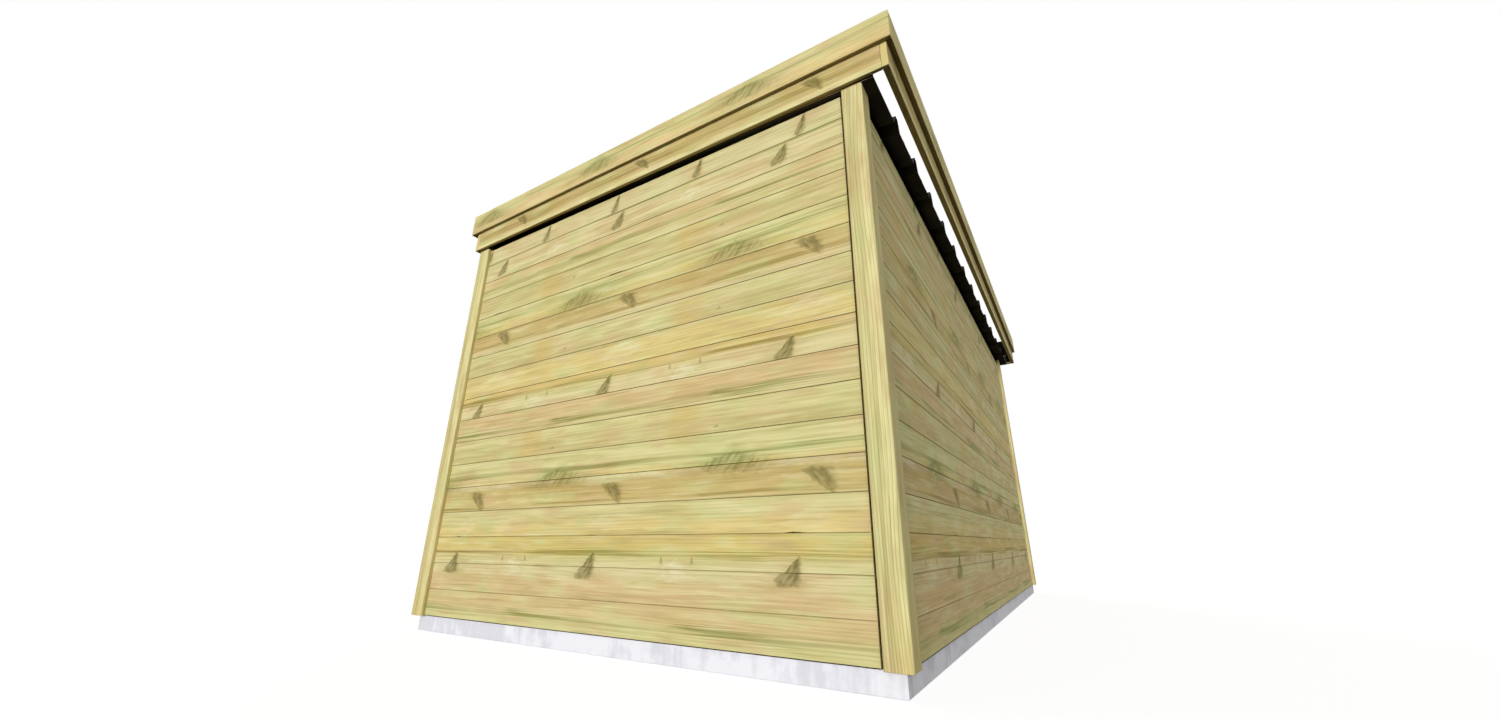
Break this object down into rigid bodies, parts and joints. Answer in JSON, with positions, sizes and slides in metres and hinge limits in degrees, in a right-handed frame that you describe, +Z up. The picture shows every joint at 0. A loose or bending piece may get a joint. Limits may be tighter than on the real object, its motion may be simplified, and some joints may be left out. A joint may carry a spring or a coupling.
{
  "type": "wooden garden shed",
  "caption": "Garden shed with boarded timber walls between corner posts on a concrete slab, and a ribbed steel roof behind a two-tier timber fascia.",
  "frame": {"origin": "middle of the slab's underside", "axes": "+Z up, front wall towards -Y, +X to the right, where the roof falls to an open eave"},
  "size_m": [2.49, 3.848, 2.2],
  "materials": {
    "treated_timber": "planed, matt",
    "sawn_timber": "sawn, matt",
    "roof_steel": "satin coating",
    "concrete": "smooth cast, matt"
  },
  "bodies": {
    "root": {"base_slab": "concrete", "front_right_post": "treated_timber", "front_left_post": "treated_timber", "back_right_post": "treated_timber", "back_left_post": "treated_timber", "front_sole_plate": "sawn_timber", "front_studs": "sawn_timber", "front_top_plate": "sawn_timber", "front_cladding": "treated_timber", "front_lower_fascia": "treated_timber", "front_upper_fascia": "treated_timber", "back_sole_plate": "sawn_timber", "back_studs": "sawn_timber", "back_top_plate": "sawn_timber", "back_cladding": "treated_timber", "back_lower_fascia": "treated_timber", "back_upper_fascia": "treated_timber", "right_sole_plate": "sawn_timber", "right_studs": "sawn_timber", "right_top_plate": "sawn_timber", "right_cladding": "treated_timber", "right_lower_fascia": "treated_timber", "right_upper_fascia": "treated_timber", "left_sole_plate": "sawn_timber", "left_studs": "sawn_timber", "left_top_plate": "sawn_timber", "left_cladding": "treated_timber", "left_lower_fascia": "treated_timber", "left_upper_fascia": "treated_timber", "front_firring": "sawn_timber", "front_ledger": "sawn_timber", "front_verge_batten": "sawn_timber", "back_firring": "sawn_timber", "back_ledger": "sawn_timber", "back_verge_batten": "sawn_timber", "left_packer": "sawn_timber", "right_purlin": "sawn_timber", "middle_purlin": "sawn_timber", "left_purlin": "sawn_timber", "roof_sheet_front": "roof_steel", "roof_sheet_middle": "roof_steel", "roof_sheet_back": "roof_steel"}
  },
  "joints": []
}
